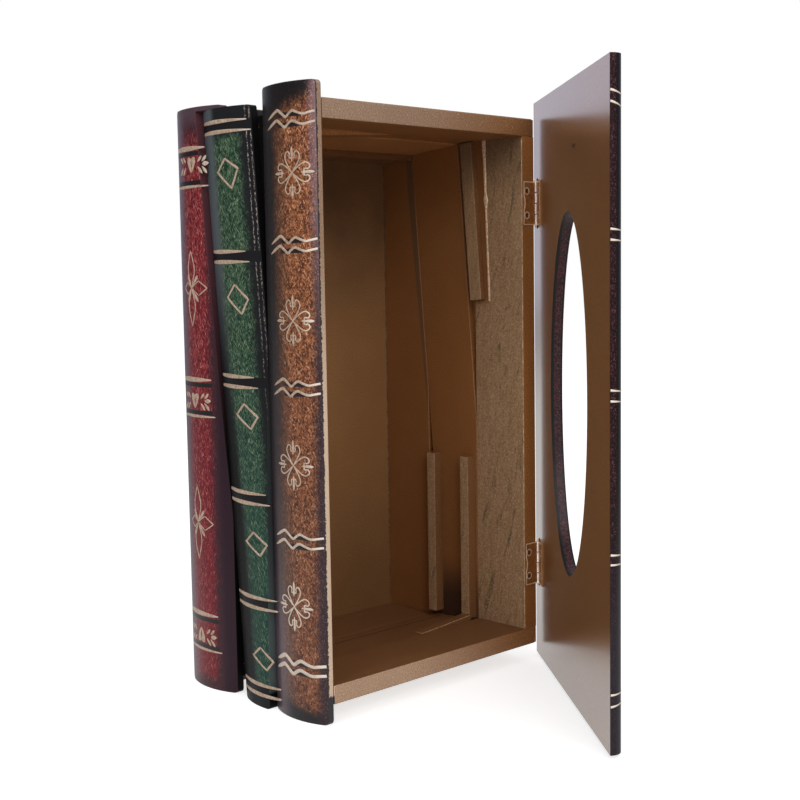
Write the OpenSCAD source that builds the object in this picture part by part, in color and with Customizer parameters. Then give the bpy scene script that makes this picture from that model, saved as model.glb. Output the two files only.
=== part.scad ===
// A keepsake box made to look like three old books that stand side by side.
// The front book's cover is a door with an oval slot, hung on two small butt hinges.
// The middle book leans: its head rests on the rear book, its foot is tucked behind the front one.
// X runs from the spines to the fore edge, Y from the door to the rear cover, Z up.
// Inside the modules, X and Y start at the front book's spine corner and Z at its page block's foot.

/* [Page blocks] */
// Width of the page blocks, from the backs of the spines to the fore edge
case_w = 122.5; // [110:0.5:150]
// Height of the front book's page block
case_h = 235.6; // [215:0.2:280]
// Thickness of the wooden boards that form the page blocks
wall = 7.5; // [6:0.1:9]
// Thickness of the front book's page block
front_t = 28.8; // [26:0.1:31]
// Thickness of the middle book's page block
middle_t = 30; // [26:0.1:31]
// Thickness of the rear book's page block
rear_t = 28.8; // [26:0.1:34]
// Clear width between the front and rear blocks, where the middle book leans
nook = 31.4; // [30.5:0.1:36]
// Angle at which the middle book leans back
lean = 4.6; // [3:0.1:5]
// How far the middle book's foot is tucked behind the front book
tuck = 7.9; // [6:0.1:9]
// How much lower the middle block's head is than the front block's
middle_drop = 0.6; // [0.5:0.1:3]
// How much lower the rear block's head is than the front block's
rear_drop = 5.6; // [5:0.1:8]
// Thickness of the panel that closes the case behind the spines
side_t = 4; // [3:0.1:5]
// How far that panel starts behind the front opening
side_inset = 6; // [5:0.1:9]

/* [Covers and spines] */
// Thickness of the two covers
cover_t = 5; // [4.5:0.1:7]
// How far the covers reach past the fore edge
cover_over = 8.5; // [6:0.1:9]
// How far the door reaches past the back of the front spine
cover_lip = 4.1; // [3.2:0.1:6]
// Radius of the covers' rounded spine-side edge
cover_round = 4.4; // [2:0.1:4.4]
// How far covers and spines reach below the front page block
foot = 8; // [6:0.1:9]
// Gap between the door and the surface that the box stands on
door_clear = 1.5; // [0.5:0.1:3]
// How far the door reaches above the front page block
door_head = 8; // [4:0.1:10]
// How far the front spine reaches above the front page block
head = 6.8; // [4:0.1:9]
// How much lower the middle spine's head is than the front one's
middle_spine_drop = 5.4; // [5:0.1:9]
// How much lower the rear spine and cover are than the front ones
rear_spine_drop = 3.4; // [2:0.1:4]
// Thickness of the spines at their flat edges
spine_edge = 3.2; // [2.5:0.1:4]
// How far the spines bulge out past their edges
spine_bulge = 4; // [3:0.1:8]
// Width of the spines
spine_w = 32.3; // [30:0.1:33]
// How far the rear spine laps over the edge of the rear cover
rear_spine_lap = 2.2; // [0:0.1:4]

/* [Slot in the door] */
// Width of the oval slot
slot_w = 66; // [40:1:80]
// Height of the oval slot
slot_h = 148; // [100:1:170]

/* [Hinges] */
// How far the door stands open at rest
door_open = 51.6; // [0:0.2:90]
// Height of each hinge
hinge_h = 19.2; // [16:0.2:24]
// Width of each hinge leaf
leaf_w = 7.4; // [6.4:0.1:8]
// Thickness of the hinge leaves
leaf_t = 0.6; // [0.5:0.05:0.7]
// Radius of the hinge knuckles
knuckle_r = 0.9; // [0.85:0.05:1.3]
// Radius of the hinge pins
pin_r = 0.45; // [0.35:0.05:0.6]
// Distance from the front block's head down to the upper hinge's middle
upper_hinge_drop = 36.6; // [25:0.2:60]
// Height of the lower hinge's middle above the front block's foot
lower_hinge_z = 37.2; // [25:0.2:60]
// Distance of the screws from the outer edge of a leaf
screw_inset = 2.2; // [2.1:0.1:2.8]
// Distance between the two screws in a leaf
screw_pitch = 10.6; // [9:0.2:12]
// Radius of the screw heads
screw_head_r = 1.7; // [1.4:0.1:1.9]
// Radius of the screw shanks
screw_r = 0.8; // [0.6:0.05:1]

/* [Joint strips inside] */
// Width and thickness of the two strips at the foot of the fore edge
low_strip_w = 5.2; // [4:0.1:6]
// Height of those two strips
low_strip_h = 76.5; // [50:0.5:100]
// Width of the leaning strip at the head of the fore edge
high_strip_w = 7; // [5:0.1:8]
// Thickness of the leaning strip
high_strip_t = 3; // [2:0.1:4]
// Length of the leaning strip
high_strip_h = 71.5; // [50:0.5:90]
// How far the leaning strip sits in front of the middle book
high_strip_shift = 11; // [9:0.2:12]

/* [Fillers] */
// How far the filler between the heads of the front and middle books is set back
top_recess = 3; // [1:0.1:4]
// How far that filler dips below the ceiling at the spines
top_dip = 4; // [1:0.1:5]
// Length over which the dip runs out
top_dip_l = 61; // [40:1:90]
// How far the filler between the feet of the middle and rear books is set back
bottom_recess = 2; // [1:0.1:4]
// Thickness of the two strips that close the gaps between the fore-edge boards
fore_filler_t = 1.5; // [1:0.1:3]
// Length of the wedge on the floor near the fore edge
wedge_l = 32; // [20:1:60]
// Width of the wedge
wedge_w = 5; // [3:0.1:8]
// How far the wedge rises above the floor
wedge_rise = 2.4; // [1:0.1:3]

/* [Hidden] */

// Air left where one piece is trimmed to another
seam = 0.1;
// Radial clearance of the hinge pins and of the screws in their holes
running = 0.05;
// Air between the two leaves of a shut hinge
leaf_gap = 0.2;
// Distance of the front joint strip behind the front block
joint_inset = 1.2;
// Thinnest end that a tapering strip is given
thin_end = 1;
// A length larger than the whole box, for cutting tools
far = 500;

rear_y = front_t + nook;
depth = rear_y + rear_t;
middle_y = front_t - tuck;
fore_x = case_w - wall;
middle_h = (case_h - middle_drop) / cos(lean);
rear_head = case_h - rear_drop;
// The rear book's floor meets the leaning floor of the middle book
rear_floor = leaning_z(wall, rear_y);
rear_foot = rear_floor - wall;
spine_head = case_h + head;
door_top = case_h + door_head;
middle_spine_head = spine_head - middle_spine_drop;
rear_cover_head = spine_head - rear_spine_drop;

door_gap = 2 * leaf_t + leaf_gap;
pin_y = -door_gap / 2;
// The knuckles just clear the front corner of the case
pin_x = case_w + sqrt(pow(knuckle_r + seam, 2) - pow(pin_y, 2));
door_foot = -foot + door_clear;
upper_hinge_z = case_h - upper_hinge_drop;
hinge_heights = [upper_hinge_z, lower_hinge_z];
knuckle_count = 4;
knuckle_slit = 0.2;
pin_tip_r = pin_r + 0.25;
leaf_outer_x = case_w - leaf_w - seam;
screw_x = leaf_outer_x + screw_inset;
case_screw_length = 6;
door_screw_length = 3.8;
relief_depth = max(0.2, knuckle_r - door_gap / 2 + 0.3);

gold = "#9a7444";
brown = "#5a3018";
green = "#2f5a37";
red = "#7a1f24";
black = "#1d1a1c";
brass = "#b48a4a";
steel = "#c9b48c";

// Middle of the footprint, with the door open as it rests
rest_left = -spine_edge - spine_bulge;
door_corner_x = case_w + cover_over - pin_x;
door_corner_y = -door_gap - cover_t - pin_y;
rest_right = max(case_w + cover_over,
    pin_x + door_corner_x * cos(door_open) - door_corner_y * sin(door_open));
round_x = -cover_lip + cover_round - pin_x;
round_y = door_corner_y + cover_round;
rest_front = pin_y + round_x * sin(door_open) + round_y * cos(door_open) - cover_round;
rest_back = depth + cover_t;
mid_x = (rest_left + rest_right) / 2;
mid_y = (rest_front + rest_back) / 2;

// Height, at depth y, of a board face that lies at height h in the leaning book
function leaning_z(h, y) = (h - (y - middle_y) * sin(lean)) / cos(lean);

// Depth, at height z, of a leaning face that lies at depth d in the leaning book
function leaning_y(d, z) = middle_y + (d + z * sin(lean)) / cos(lean);

function ellipse_points(w, h, count) =
    [for (i = [0 : count - 1]) [w / 2 * cos(360 * i / count), h / 2 * sin(360 * i / count)]];

// Moves the model so that the origin is in the middle of its footprint
module on_the_floor() {
    translate([-mid_x, -mid_y, foot]) children();
}

// Tilts a piece of the middle book back, about the foot of its front face
module leaning() {
    translate([0, middle_y, 0]) rotate([-lean, 0, 0]) children();
}

// Turns a piece of the shut door to where it rests
module door_at_rest() {
    translate([pin_x, pin_y, 0]) rotate([0, 0, door_open]) translate([-pin_x, -pin_y, 0]) children();
}

// Everything in front of a leaning plane that lies at depth d in the leaning book
module before_leaning_plane(d) {
    leaning() translate([-far, -far, -far]) cube([2 * far, far + d + seam, 2 * far]);
}

// Everything behind the middle book's front face
module behind_middle_front() {
    leaning() translate([-far, -seam, -far]) cube([2 * far, far, 2 * far]);
}

module spine_section() {
    bow_r = (spine_w * spine_w / 4 + spine_bulge * spine_bulge) / (2 * spine_bulge);
    translate([-spine_edge, 0]) square([spine_edge, spine_w]);
    intersection() {
        translate([-spine_edge - spine_bulge, 0]) square([spine_bulge, spine_w]);
        translate([bow_r - spine_edge - spine_bulge, spine_w / 2]) circle(bow_r, $fn = 180);
    }
}

// A cover seen from above, inner face on the X axis and rounded edge at the origin. lip is how
// far it reaches past the back of its spine.
module cover_section(lip) {
    width = lip + case_w + cover_over;
    difference() {
        square([width, cover_t]);
        translate([0, cover_t - cover_round]) difference() {
            translate([-seam, 0]) square([cover_round + seam, cover_round + seam]);
            translate([cover_round, 0]) circle(cover_round, $fn = 96);
        }
    }
}

module front_spine() {
    color(brown) on_the_floor()
        translate([0, 0, -foot]) linear_extrude(foot + spine_head) spine_section();
}

// The middle spine leans but is cut level at both ends, and flat where it meets the front spine
module middle_spine() {
    color(green) on_the_floor() intersection() {
        leaning() translate([0, 0, -far / 2]) linear_extrude(far) spine_section();
        translate([-far / 2, spine_w + seam, -foot]) cube([far, far, foot + middle_spine_head]);
    }
}

// The rear spine laps over the rear cover's edge, and is notched where the middle one leans on it
module rear_spine() {
    color(red) on_the_floor() difference() {
        translate([0, depth + rear_spine_lap - spine_w, -foot])
            linear_extrude(foot + rear_cover_head) spine_section();
        intersection() {
            before_leaning_plane(spine_w);
            translate([-far / 2, 0, -far / 2]) cube([far, far, far / 2 + middle_spine_head + seam]);
        }
    }
}

module side_panel() {
    floor_at_nook = leaning_z(wall, front_t);
    rear_ceiling = rear_head - wall;
    middle_ceiling = middle_h - wall;
    front_ceiling = case_h - wall;
    middle_front_y = leaning_y(0, front_ceiling);
    middle_back_y = leaning_y(middle_t, rear_ceiling) + seam;
    outline = [
        [side_inset, wall], [front_t, wall], [front_t, floor_at_nook], [rear_y, rear_floor],
        [depth, rear_floor], [depth, rear_ceiling], [middle_back_y, rear_ceiling],
        [middle_back_y, leaning_z(middle_ceiling, middle_back_y)],
        [middle_front_y, leaning_z(middle_ceiling, middle_front_y)],
        [middle_front_y, front_ceiling], [side_inset, front_ceiling]
    ];
    color(black) on_the_floor()
        translate([side_t, 0, 0]) rotate([90, 0, -90]) mirror([1, 0, 0])
            linear_extrude(side_t) polygon(outline);
}

module rear_cover() {
    color(red) on_the_floor()
        translate([0, depth, -foot]) linear_extrude(foot + rear_cover_head) cover_section(0);
}

module front_top_board() {
    color(gold) on_the_floor()
        translate([0, 0, case_h - wall]) cube([case_w, front_t, wall]);
}

module front_bottom_board() {
    color(gold) on_the_floor() cube([case_w, front_t, wall]);
}

module front_fore_board() {
    color(gold) on_the_floor() difference() {
        translate([fore_x, 0, wall]) cube([wall, front_t, case_h - 2 * wall]);
        each_screw() translate([screw_x, -seam, 0]) rotate([-90, 0, 0])
            cylinder(h = case_screw_length + 2 * seam, r = screw_r + running, $fn = 24);
    }
}

module middle_top_board() {
    color(gold) on_the_floor()
        leaning() translate([0, 0, middle_h - wall]) cube([case_w, middle_t, wall]);
}

// Trimmed to the front book's block, behind which its foot is tucked
module middle_bottom_board() {
    color(gold) on_the_floor() difference() {
        leaning() cube([case_w, middle_t, wall]);
        translate([-far / 2, -far, -far / 2]) cube([far, far + front_t + seam, far]);
    }
}

module middle_fore_board() {
    color(gold) on_the_floor() difference() {
        leaning() translate([fore_x, 0, wall]) cube([wall, middle_t, middle_h - 2 * wall]);
        translate([-far / 2, -far, -far / 2]) cube([far, far + front_t + seam, far]);
    }
}

module rear_top_board() {
    color(gold) on_the_floor() difference() {
        translate([0, rear_y, rear_head - wall]) cube([case_w, rear_t, wall]);
        before_leaning_plane(middle_t);
    }
}

module rear_bottom_board() {
    color(gold) on_the_floor() translate([0, rear_y, rear_foot]) cube([case_w, rear_t, wall]);
}

module rear_fore_board() {
    color(gold) on_the_floor() difference() {
        translate([fore_x, rear_y, rear_floor]) cube([wall, rear_t, rear_head - wall - rear_floor]);
        before_leaning_plane(middle_t);
    }
}

// Closes the wedge between the heads of the front and middle blocks. Its underside dips at the spines.
module top_filler() {
    ceiling = case_h - wall;
    head_z = case_h - top_recess;
    end_x = case_w - top_recess;
    dip_x = side_t + seam;
    outline = [
        [dip_x, ceiling - top_dip], [dip_x + top_dip_l, ceiling], [end_x, ceiling],
        [end_x, head_z], [0, head_z], [0, ceiling + seam], [dip_x, ceiling + seam]
    ];
    color(black) on_the_floor() difference() {
        translate([0, front_t + nook / 2, 0]) rotate([90, 0, 0])
            linear_extrude(nook / 2) polygon(outline);
        behind_middle_front();
    }
}

// Closes the wedge between the feet of the middle and rear blocks
module bottom_filler() {
    color(black) on_the_floor() difference() {
        leaning() translate([0, middle_t + seam, bottom_recess])
            cube([case_w - bottom_recess, nook, wall - bottom_recess]);
        translate([-far / 2, rear_y, -far / 2]) cube([far, far, far]);
    }
}

// Closes the wedge between the fore-edge boards of the front and middle blocks
module upper_fore_filler() {
    foot_y = front_t + thin_end + 2 * seam;
    foot_z = ((foot_y - middle_y) * cos(lean)) / sin(lean);
    color(black) on_the_floor() difference() {
        translate([case_w - top_recess - fore_filler_t, front_t + seam, foot_z])
            cube([fore_filler_t, nook / 2, case_h - wall - foot_z]);
        behind_middle_front();
    }
}

// Closes the wedge between the fore-edge boards of the middle and rear blocks
module lower_fore_filler() {
    head_y = rear_y - thin_end - 2 * seam;
    head_z = ((head_y - middle_y) * cos(lean) - middle_t) / sin(lean);
    color(black) on_the_floor() difference() {
        leaning() translate([case_w - bottom_recess - fore_filler_t, middle_t + seam, wall])
            cube([fore_filler_t, nook, far]);
        translate([-far / 2, rear_y - seam, -far / 2]) cube([far, far, far]);
        translate([-far / 2, -far / 2, head_z]) cube([far, far, 2 * far]);
    }
}

// A sliver on the floor, where the middle book's board stands proud at the fore edge
module floor_wedge() {
    end_x = fore_x - low_strip_w - seam;
    start_x = end_x - wedge_l;
    color(gold) on_the_floor() difference() {
        translate([0, front_t + wedge_w + seam, 0]) rotate([90, 0, 0]) linear_extrude(wedge_w)
            polygon([[start_x, 0], [end_x, 0], [end_x, wall + wedge_rise], [start_x, wall]]);
        leaning() translate([-far / 2, -far / 2, wall - far]) cube([far, far, far]);
    }
}

// Covers the joint between the front and middle fore-edge boards, and leans like the middle book
module leaning_joint_strip() {
    // Its head stays just clear of the ceiling
    strip_head = (case_h - wall - seam - high_strip_shift * sin(lean)) / cos(lean);
    color(gold) on_the_floor()
        leaning() translate([fore_x - high_strip_t, -high_strip_shift, strip_head - high_strip_h])
            cube([high_strip_t, high_strip_w, high_strip_h]);
}

module low_joint_strip(y) {
    color(gold) on_the_floor() translate([fore_x - low_strip_w, y, wall + seam])
        cube([low_strip_w, low_strip_w, low_strip_h]);
}

module front_joint_strip() low_joint_strip(front_t + joint_inset);

// Stands where the middle book's rear face meets the floor
module rear_joint_strip() low_joint_strip(leaning_y(middle_t, wall));

module each_screw() {
    for (z = hinge_heights, side = [-1, 1])
        translate([0, 0, z + side * screw_pitch / 2]) children();
}

module slot_prism() {
    slot_x = (case_w + cover_over - cover_lip) / 2;
    slot_z = (door_foot + door_top) / 2;
    translate([slot_x, seam - door_gap, slot_z]) rotate([90, 0, 0])
        linear_extrude(cover_t + 2 * seam) polygon(ellipse_points(slot_w, slot_h, 72));
}

// Shallow recess in the door behind a hinge's knuckles
module knuckle_relief(z) {
    width = 2 * knuckle_r + 0.6;
    height = hinge_h + 4 * pin_tip_r;
    translate([pin_x - width / 2, -door_gap - relief_depth, z - height / 2])
        cube([width, relief_depth + seam, height]);
}

module door_panel() {
    color(brown) on_the_floor() door_at_rest() difference() {
        translate([-cover_lip, -door_gap, door_foot]) mirror([0, 1, 0])
            linear_extrude(door_top - door_foot) cover_section(cover_lip);
        slot_prism();
        for (z = hinge_heights) knuckle_relief(z);
        each_screw() translate([screw_x, seam - door_gap, 0]) rotate([90, 0, 0])
            cylinder(h = door_screw_length + 2 * seam, r = screw_r + running, $fn = 24);
    }
}

// A hinge leaf of the shut hinge. side is 1 for the case's leaf and -1 for the door's.
module hinge_leaf(z0, side) {
    knuckle_h = hinge_h / knuckle_count;
    plate_w = pin_x - knuckle_r - seam - leaf_outer_x;
    plate_y = side > 0 ? -leaf_t : -door_gap;
    waist_r = 8;
    waist_depth = 0.8;
    first = side > 0 ? 1 : 0;
    difference() {
        union() {
            translate([leaf_outer_x, plate_y, z0 - hinge_h / 2]) cube([plate_w, leaf_t, hinge_h]);
            for (i = [first : 2 : knuckle_count - 1])
                translate([0, 0, z0 - hinge_h / 2 + i * knuckle_h + knuckle_slit / 2]) {
                    translate([leaf_outer_x + plate_w - seam, plate_y, 0])
                        cube([knuckle_r + 2 * seam, leaf_t, knuckle_h - knuckle_slit]);
                    translate([pin_x, pin_y, 0])
                        cylinder(h = knuckle_h - knuckle_slit, r = knuckle_r, $fn = 48);
                }
        }
        translate([pin_x, pin_y, z0 - hinge_h]) cylinder(h = 2 * hinge_h, r = pin_r + running, $fn = 48);
        translate([leaf_outer_x - waist_r + waist_depth, -far / 2, z0]) rotate([-90, 0, 0])
            cylinder(h = far, r = waist_r, $fn = 96);
        for (end = [-1, 1]) translate([screw_x, 0, z0 + end * screw_pitch / 2])
            countersink(plate_y, side, running);
    }
}

// The cone of a screw head whose flat top faces the other leaf
module countersink(plate_y, side, extra) {
    top_y = side > 0 ? plate_y : plate_y + leaf_t;
    translate([0, top_y, 0]) rotate([-90 * side, 0, 0])
        cylinder(h = leaf_t + extra, r1 = screw_head_r + extra, r2 = screw_r + extra, $fn = 48);
}

module hinge_pin(z0) {
    tip_z = hinge_h / 2 + pin_tip_r / 2;
    color(brass) on_the_floor() translate([pin_x, pin_y, z0]) {
        translate([0, 0, -tip_z]) cylinder(h = 2 * tip_z, r = pin_r, $fn = 48);
        for (end = [-1, 1]) translate([0, 0, end * tip_z]) sphere(pin_tip_r, $fn = 48);
    }
}

// A countersunk screw with a cross in its head, its shank along +Y below the head
module screw(length) {
    cross_w = 0.45;
    cross_l = 2.2;
    cross_depth = 0.35;
    difference() {
        union() {
            rotate([-90, 0, 0]) cylinder(h = leaf_t, r1 = screw_head_r, r2 = screw_r, $fn = 48);
            rotate([-90, 0, 0]) cylinder(h = leaf_t + length, r = screw_r, $fn = 24);
        }
        for (turn = [45, 135]) rotate([0, turn, 0])
            translate([-cross_l / 2, -seam, -cross_w / 2]) cube([cross_l, cross_depth + seam, cross_w]);
    }
}

module upper_hinge_case_leaf() color(brass) on_the_floor() hinge_leaf(upper_hinge_z, 1);

module lower_hinge_case_leaf() color(brass) on_the_floor() hinge_leaf(lower_hinge_z, 1);

module upper_hinge_door_leaf() color(brass) on_the_floor() door_at_rest() hinge_leaf(upper_hinge_z, -1);

module lower_hinge_door_leaf() color(brass) on_the_floor() door_at_rest() hinge_leaf(lower_hinge_z, -1);

module upper_hinge_pin() hinge_pin(upper_hinge_z);

module lower_hinge_pin() hinge_pin(lower_hinge_z);

module case_screws() {
    color(steel) on_the_floor() each_screw()
        translate([screw_x, -leaf_t, 0]) screw(case_screw_length);
}

module door_screws() {
    color(steel) on_the_floor() door_at_rest() each_screw()
        translate([screw_x, leaf_t - door_gap, 0]) mirror([0, 1, 0]) screw(door_screw_length);
}

front_spine();
middle_spine();
rear_spine();
side_panel();
rear_cover();
front_top_board();
front_bottom_board();
front_fore_board();
middle_top_board();
middle_bottom_board();
middle_fore_board();
rear_top_board();
rear_bottom_board();
rear_fore_board();
top_filler();
bottom_filler();
upper_fore_filler();
lower_fore_filler();
floor_wedge();
leaning_joint_strip();
front_joint_strip();
rear_joint_strip();
door_panel();
upper_hinge_case_leaf();
upper_hinge_door_leaf();
upper_hinge_pin();
lower_hinge_case_leaf();
lower_hinge_door_leaf();
lower_hinge_pin();
case_screws();
door_screws();
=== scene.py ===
"""Looks for the book box: three old books that stand side by side, the front one's cover a door."""
import random
from math import cos, exp, pi, radians, sin, sqrt

import bmesh
import bpy
from mathutils import Euler, Matrix, Vector


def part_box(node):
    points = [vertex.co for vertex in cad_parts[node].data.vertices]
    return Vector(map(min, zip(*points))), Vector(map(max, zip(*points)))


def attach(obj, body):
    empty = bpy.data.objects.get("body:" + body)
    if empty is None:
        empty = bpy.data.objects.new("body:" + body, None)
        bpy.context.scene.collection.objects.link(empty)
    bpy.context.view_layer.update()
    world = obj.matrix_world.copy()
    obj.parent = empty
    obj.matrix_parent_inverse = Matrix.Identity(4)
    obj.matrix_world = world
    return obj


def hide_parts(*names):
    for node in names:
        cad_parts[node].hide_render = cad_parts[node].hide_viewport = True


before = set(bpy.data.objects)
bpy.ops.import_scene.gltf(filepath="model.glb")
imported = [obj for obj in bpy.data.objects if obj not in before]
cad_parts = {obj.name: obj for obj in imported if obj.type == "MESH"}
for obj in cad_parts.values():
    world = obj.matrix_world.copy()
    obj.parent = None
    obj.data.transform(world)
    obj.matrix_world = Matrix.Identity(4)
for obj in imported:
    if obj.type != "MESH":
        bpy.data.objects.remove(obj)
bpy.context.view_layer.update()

# ---- sizes, as in part.scad, in millimetres
MM = 0.001
CASE_W, CASE_H, WALL = 122.5, 235.6, 7.5
FRONT_T, MIDDLE_T, REAR_Y, DEPTH = 28.8, 30, 60.2, 89
LEAN, MIDDLE_Y = radians(4.6), 20.9
MIDDLE_H = (CASE_H - 0.6) / cos(LEAN)
REAR_HEAD, REAR_FOOT = 230, -3.14
FORE_X = CASE_W - WALL
EDGE, BULGE, SPINE_W, REAR_LAP = 3.2, 4, 32.3, 2.2
DOOR_OPEN = radians(51.6)
PIN = Vector((123.214, -0.7, 0))
DOOR_IN, DOOR_OUT = -1.4, -6.4
DOOR_LEFT, DOOR_RIGHT, DOOR_FOOT, DOOR_TOP = -4.1, 131, -6.5, 243.6
SLOT_X, SLOT_Z, SLOT_W, SLOT_H = 63.45, 118.55, 66, 148

low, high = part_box("front_fore_board")
ORIGIN = Vector((high.x - CASE_W * MM, low.y, low.z - WALL * MM))


def new_object(name, data):
    obj = bpy.data.objects.new(name, data)
    bpy.context.scene.collection.objects.link(obj)
    return obj


# ---- camera
EYE = ORIGIN + Vector((-327.384, -383.046, 167.919)) * MM
YAW, PITCH, ROLL = 0.81545, 0.09423, -0.016399
FOCAL_PX, FRAME_PX, SENSOR = 1309.92, 800, 36
ahead = Vector((cos(YAW) * cos(PITCH), sin(YAW) * cos(PITCH), -sin(PITCH)))
sideways = Vector((sin(YAW), -cos(YAW), 0))
upward = sideways.cross(ahead)
right = cos(ROLL) * sideways + sin(ROLL) * upward
up = -sin(ROLL) * sideways + cos(ROLL) * upward
camera = new_object("camera", bpy.data.cameras.new("camera"))
camera.matrix_world = Matrix.Translation(EYE) @ Matrix((right, up, -ahead)).transposed().to_4x4()
camera.data.sensor_width = SENSOR
camera.data.lens = FOCAL_PX / FRAME_PX * SENSOR
camera.data.shift_x = 0.0117
camera.data.clip_start, camera.data.clip_end = 0.01, 50
bpy.context.scene.camera = camera


# ---- spaces: each book's own millimetres
def space(place, turn):
    return {"place": ORIGIN + Vector(place) * MM, "turn": turn}


def matrix(s):
    return Matrix.LocRotScale(s["place"], Euler(s["turn"]), (MM,) * 3)


STRAIGHT = space((0, 0, 0), (0, 0, 0))
LEANING = space((0, MIDDLE_Y, 0), (-LEAN, 0, 0))
REAR = space((0, DEPTH + REAR_LAP - SPINE_W, 0), (0, 0, 0))
DOOR = space(PIN - Matrix.Rotation(DOOR_OPEN, 3, "Z") @ PIN, (0, 0, DOOR_OPEN))


def bow(a):
    """Point and outward direction of a spine's bowed face at distance a from its front edge."""
    r = (SPINE_W * SPINE_W / 4 + BULGE * BULGE) / (2 * BULGE)
    s = min(max(a, 0), SPINE_W) - SPINE_W / 2
    c = sqrt(r * r - s * s)
    return -EDGE - BULGE + r - c, Vector((-c / r, s / r, 0))


def on_spine(s):
    """Turns (across, up, above the surface) on a spine into a point in the row frame."""
    m = matrix(s)

    def put(a, z, h):
        x, n = bow(a)
        return m @ (Vector((x, a, z)) + n * h)

    return put


def on_wall(s, axis, at, side):
    """The same for a flat face across axis 0 or 1 of a space, at a distance, that looks to side."""
    m = matrix(s)
    return lambda a, z, h: m @ (Vector((at + side * h, a, z)) if axis == 0 else Vector((a, at + side * h, z)))


# ---- mesh helpers
GOLD, BRASS = "gold_paint", "old_brass"


def piece(name, bm, body, materials, smooth=35):
    """A mesh that rides on a body, shaded smooth across edges of up to smooth degrees."""
    mesh = bpy.data.meshes.new(name)
    bmesh.ops.recalc_face_normals(bm, faces=bm.faces)
    bm.to_mesh(mesh)
    bm.free()
    for m in materials:
        mesh.materials.append(m)
    mesh.shade_smooth()
    mesh.set_sharp_from_angle(angle=radians(smooth))
    obj = new_object(name, mesh)
    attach(obj, body)
    return obj


def join_rings(bm, rings):
    """A closed tube through rings of points."""
    n = len(rings[0])
    for a, b in zip(rings, rings[1:]):
        for k in range(n):
            bm.faces.new((a[k], a[(k + 1) % n], b[(k + 1) % n], b[k]))
    bm.faces.new(rings[0])
    bm.faces.new(reversed(rings[-1]))


def smooth_path(points, steps=6):
    """A Catmull-Rom curve through the points."""
    p = [Vector(q) for q in points]
    p = [2 * p[0] - p[1], *p, 2 * p[-1] - p[-2]]
    out = []
    for i in range(1, len(p) - 2):
        for k in range(steps):
            t = k / steps
            out.append(0.5 * (2 * p[i] + (p[i + 1] - p[i - 1]) * t
                              + (2 * p[i - 1] - 5 * p[i] + 4 * p[i + 1] - p[i + 2]) * t * t
                              + (3 * p[i] - p[i - 1] - 3 * p[i + 1] + p[i + 2]) * t ** 3))
    return out + [p[-2]]


def line(start, end, count=8):
    a, b = Vector(start), Vector(end)
    return [a.lerp(b, i / count) for i in range(count + 1)]


class Strokes:
    """Low beads of paint, glue or metal in one mesh. put(a, z, h) is the point at a and z, h above."""

    def __init__(self, put):
        self.bm, self.put = bmesh.new(), put

    def add(self, path, width, rise=0.14, sink=0.15):
        """A bead along a path. Its width is a number or a function of the share of the way."""
        path = [Vector(p) for p in path]
        rings = []
        for i, p in enumerate(path):
            along = (path[min(i + 1, len(path) - 1)] - path[max(i - 1, 0)]).normalized()
            side = Vector((-along.y, along.x))
            w = width(i / (len(path) - 1)) if callable(width) else width
            arc = [pi * k / 5 for k in range(6)]
            ring = [(cos(t), rise * sin(t) * min(1, w / 0.5)) for t in arc] + [(-1, -sink), (1, -sink)]
            rings.append([self.bm.verts.new(self.put(*(p + side * (out * w / 2)), h)) for out, h in ring])
        join_rings(self.bm, rings)

    def finish(self, name, paint, body="case", slot=GOLD):
        piece(name, self.bm, body, [paint], 60)


def spindle(w, tip, peak=0.5):
    """Width of a brush mark that swells to w at its peak and ends in points."""
    def at(t):
        s = t / peak if t < peak else (1 - t) / (1 - peak)
        return tip + (w - tip) * sin(pi / 2 * s) ** 0.8
    return at


def taper(w0, w1, tip=0.12, blunt=False):
    """Width of a brush mark from w0 to w1, with both ends rounded off, or only the first."""
    def at(t):
        w = w0 + (w1 - w0) * t
        return tip + (w - tip) * min(1, t * 12, 1 if blunt else (1 - t) * 12) ** 0.6
    return at


# ---- node helpers
def linear(colour):
    """An sRGB triple, 0 to 255, as the linear colour that a node takes. Anything else stays as it is."""
    if not isinstance(colour, tuple) or len(colour) != 3:
        return colour
    return (*[((c / 255 + 0.055) / 1.055) ** 2.4 if c > 10 else c / 3294.6 for c in colour], 1)


def operator(name):
    return lambda self, other: self.nodes.math(name, self, other)


class Value:
    """A number in a node tree. Sums, differences, products and quotients of it are nodes too."""
    __add__, __sub__, __mul__, __truediv__ = map(operator, ("ADD", "SUBTRACT", "MULTIPLY", "DIVIDE"))

    def __init__(self, nodes, socket):
        self.nodes, self.socket = nodes, socket


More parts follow.
